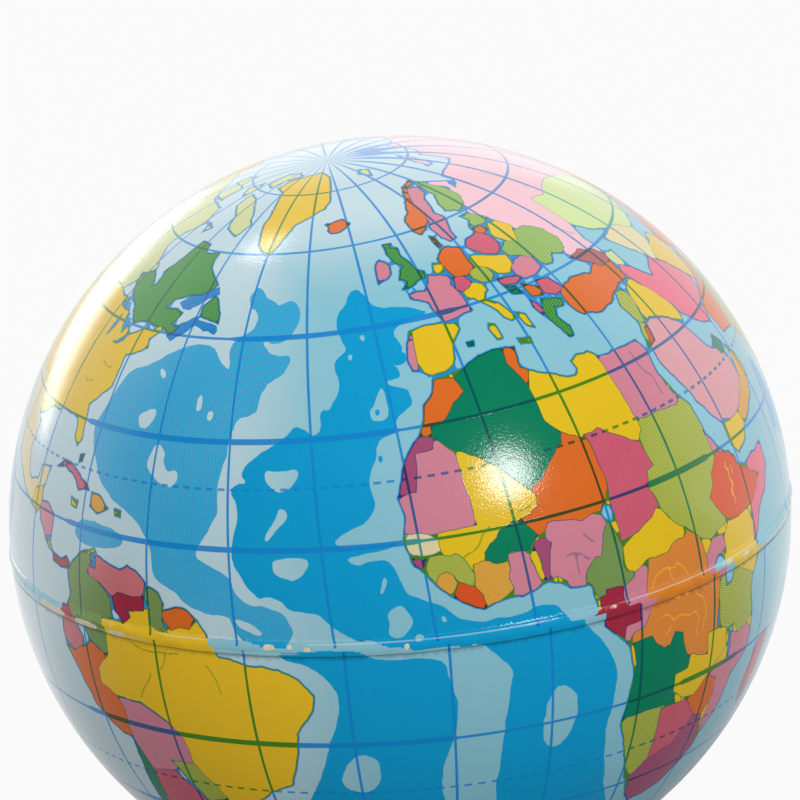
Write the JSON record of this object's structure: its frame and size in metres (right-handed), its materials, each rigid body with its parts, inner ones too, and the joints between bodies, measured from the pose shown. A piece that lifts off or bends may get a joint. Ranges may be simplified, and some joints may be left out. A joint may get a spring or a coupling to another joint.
{
  "type": "stress ball",
  "caption": "Soft foam squeeze ball printed all over as a world map, with a low parting seam round its equator and a small flat to stand on.",
  "frame": {"origin": "middle of the small rest flat at the ball's south pole", "axes": "+Z from the south pole to the north pole of the map, the way the mould opens; the map's zero meridian faces +X"},
  "size_m": [0.0706, 0.0706, 0.0677],
  "materials": {
    "foam_core": "open-cell cream polyurethane foam",
    "foam_skin": "dense cream moulded foam skin, matt",
    "seam_bead": "cream moulded flash, satin",
    "map_print_south": "screen-printed map under a satin gloss lacquer",
    "map_print_north": "screen-printed map under a satin gloss lacquer"
  },
  "bodies": {
    "south_half": {"foam_core": "foam_core", "skin_south": "foam_skin", "parting_bead": "seam_bead", "print_film_south": "map_print_south"},
    "north_half": {"skin_north": "foam_skin", "print_film_north": "map_print_north"}
  },
  "joints": [
    {"name": "squeeze", "type": "slide", "parent": "south_half", "child": "north_half", "axis": [0, 0, -1], "range_m": [0, 0.025], "stiffness_N_per_m": 1600, "deforming": ["foam_core", "parting_bead", "skin_north", "print_film_north"]}
  ]
}
